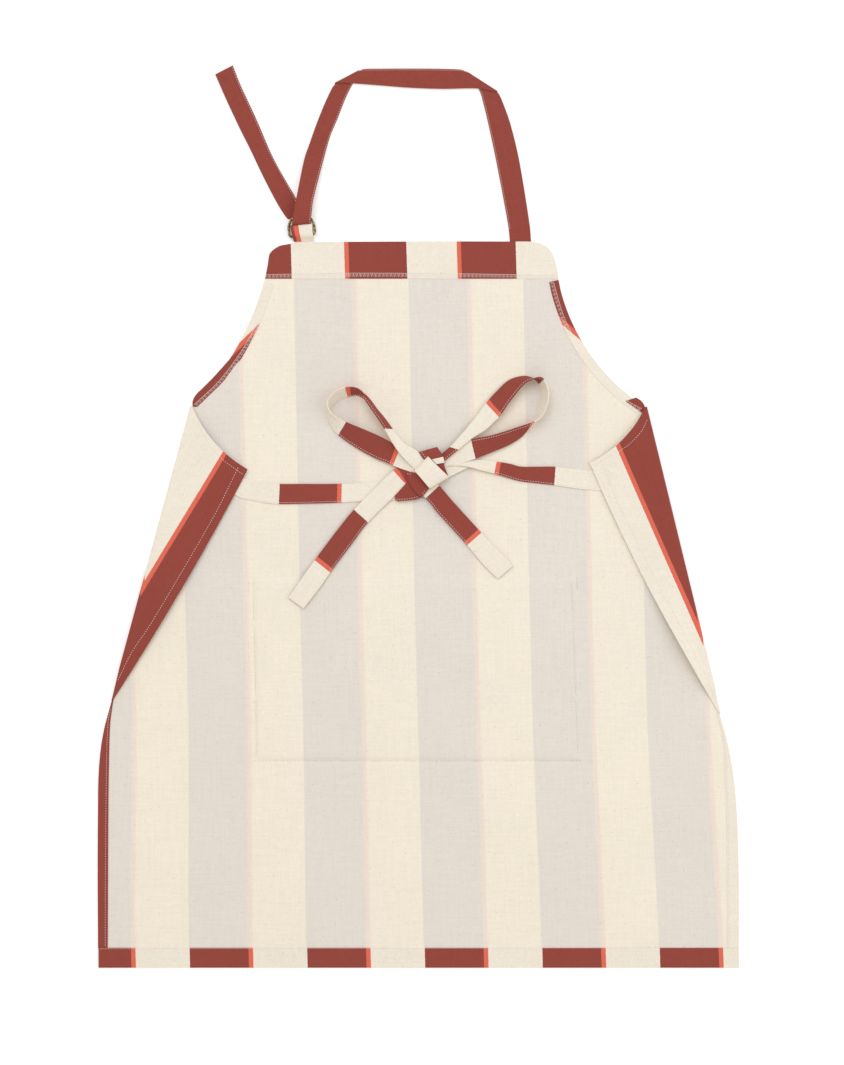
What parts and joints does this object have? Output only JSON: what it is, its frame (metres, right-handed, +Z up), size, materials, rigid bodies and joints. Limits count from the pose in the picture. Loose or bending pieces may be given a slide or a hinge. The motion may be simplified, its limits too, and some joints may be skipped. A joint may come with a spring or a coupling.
{
  "type": "bib apron",
  "caption": "Bib apron of printed canvas laid flat, back up, side corners folded in over the back, waist ties in a bow, adjustable neck strap and patch pocket.",
  "frame": {"origin": "centre of the apron's outline, on the table it lies on", "axes": "+Y towards the bib and neck strap, +X to the right seen from the back of the apron, +Z up out of the apron's back"},
  "size_m": [0.7092, 0.9979, 0.0166],
  "materials": {
    "canvas_back": "unprinted wrong side of cotton canvas, with the print showing faintly through",
    "canvas_print": "printed side of cotton canvas, wide rust stripes with a coral edge on cream",
    "strap_canvas": "rust cotton canvas with one topstitched edge",
    "ring_brass": "antique brass"
  },
  "bodies": {
    "panel": {"apron_panel": "canvas_back", "pocket": "canvas_print", "pocket_hem": "canvas_print", "bib_facing": "canvas_print", "left_armhole_facing": "canvas_print", "right_armhole_facing": "canvas_print", "bottom_hem": "canvas_print", "left_side_hem": "canvas_print", "right_side_hem": "canvas_print"},
    "left_flap": {"left_flap": "canvas_print", "left_flap_hem": "canvas_print", "left_flap_facing": "canvas_print"},
    "right_flap": {"right_flap": "canvas_print", "right_flap_hem": "canvas_print", "right_flap_facing": "canvas_print"},
    "left_tie": {"left_tie": "canvas_print", "knot": "canvas_print"},
    "right_tie": {"right_tie": "canvas_print"},
    "left_loop": {"left_loop": "canvas_print"},
    "right_loop": {"right_loop": "canvas_print"},
    "left_tail": {"left_tail": "canvas_print"},
    "right_tail": {"right_tail": "canvas_print"},
    "neck_loop": {"neck_strap": "strap_canvas", "ring_tab": "canvas_print"},
    "d_rings": {"d_ring_upper": "ring_brass", "d_ring_lower": "ring_brass"},
    "strap_tail": {"strap_tail": "strap_canvas"}
  },
  "joints": [
    {"name": "left_flap_fold", "type": "hinge", "parent": "panel", "child": "left_flap", "pos_m": [-0.29425, -0.041, 0.0019], "axis": [-0.262, -0.9651, 0], "range_deg": [0, 20]},
    {"name": "right_flap_fold", "type": "hinge", "parent": "panel", "child": "right_flap", "pos_m": [0.29175, -0.0485, 0.0019], "axis": [-0.2365, 0.9716, 0], "range_deg": [0, 20]},
    {"name": "left_tie_hinge", "type": "hinge", "parent": "left_flap", "child": "left_tie", "pos_m": [-0.1987, 0.033, 0.00285], "axis": [-0.262, -0.9651, 0], "range_deg": [-20, 0]},
    {"name": "right_tie_hinge", "type": "hinge", "parent": "right_flap", "child": "right_tie", "pos_m": [0.1969, 0.0398, 0.00285], "axis": [-0.2365, 0.9716, 0], "range_deg": [-20, 0]},
    {"name": "left_loop_lift", "type": "hinge", "parent": "left_tie", "child": "left_loop", "pos_m": [-0.0053, 0.054, 0.0166], "axis": [0.6644, 0.7474, 0], "range_deg": [0, 45]},
    {"name": "right_loop_lift", "type": "hinge", "parent": "left_tie", "child": "right_loop", "pos_m": [0.0257, 0.0618, 0.0166], "axis": [0.5794, -0.8151, 0], "range_deg": [0, 45]},
    {"name": "left_tail_lift", "type": "hinge", "parent": "left_tie", "child": "left_tail", "pos_m": [-0.017, 0.0466, 0.005], "axis": [-0.7024, 0.7118, 0], "range_deg": [0, 40]},
    {"name": "right_tail_lift", "type": "hinge", "parent": "left_tie", "child": "right_tail", "pos_m": [0.0145, 0.029, 0.005], "axis": [-0.7514, -0.6598, 0], "range_deg": [0, 40]},
    {"name": "neck_loop_fold", "type": "hinge", "parent": "panel", "child": "neck_loop", "pos_m": [0, 0.304, 0.005], "axis": [1, 0, 0], "range_deg": [0, 165]},
    {"name": "d_rings_tilt", "type": "hinge", "parent": "neck_loop", "child": "d_rings", "pos_m": [-0.128, 0.3105, 0.00395], "axis": [0.9903, 0.1392, 0], "range_deg": [0, 9]},
    {"name": "strap_tail_swing", "type": "hinge", "parent": "neck_loop", "child": "strap_tail", "pos_m": [-0.131, 0.324, 0.0004], "axis": [0, 0, 1], "range_deg": [-10, 20]}
  ],
  "couplings": [
    {"joint": "right_flap_fold", "follows": "left_flap_fold", "ratio": 1},
    {"joint": "left_tie_hinge", "follows": "left_flap_fold", "ratio": -1},
    {"joint": "right_tie_hinge", "follows": "left_flap_fold", "ratio": -1}
  ]
}
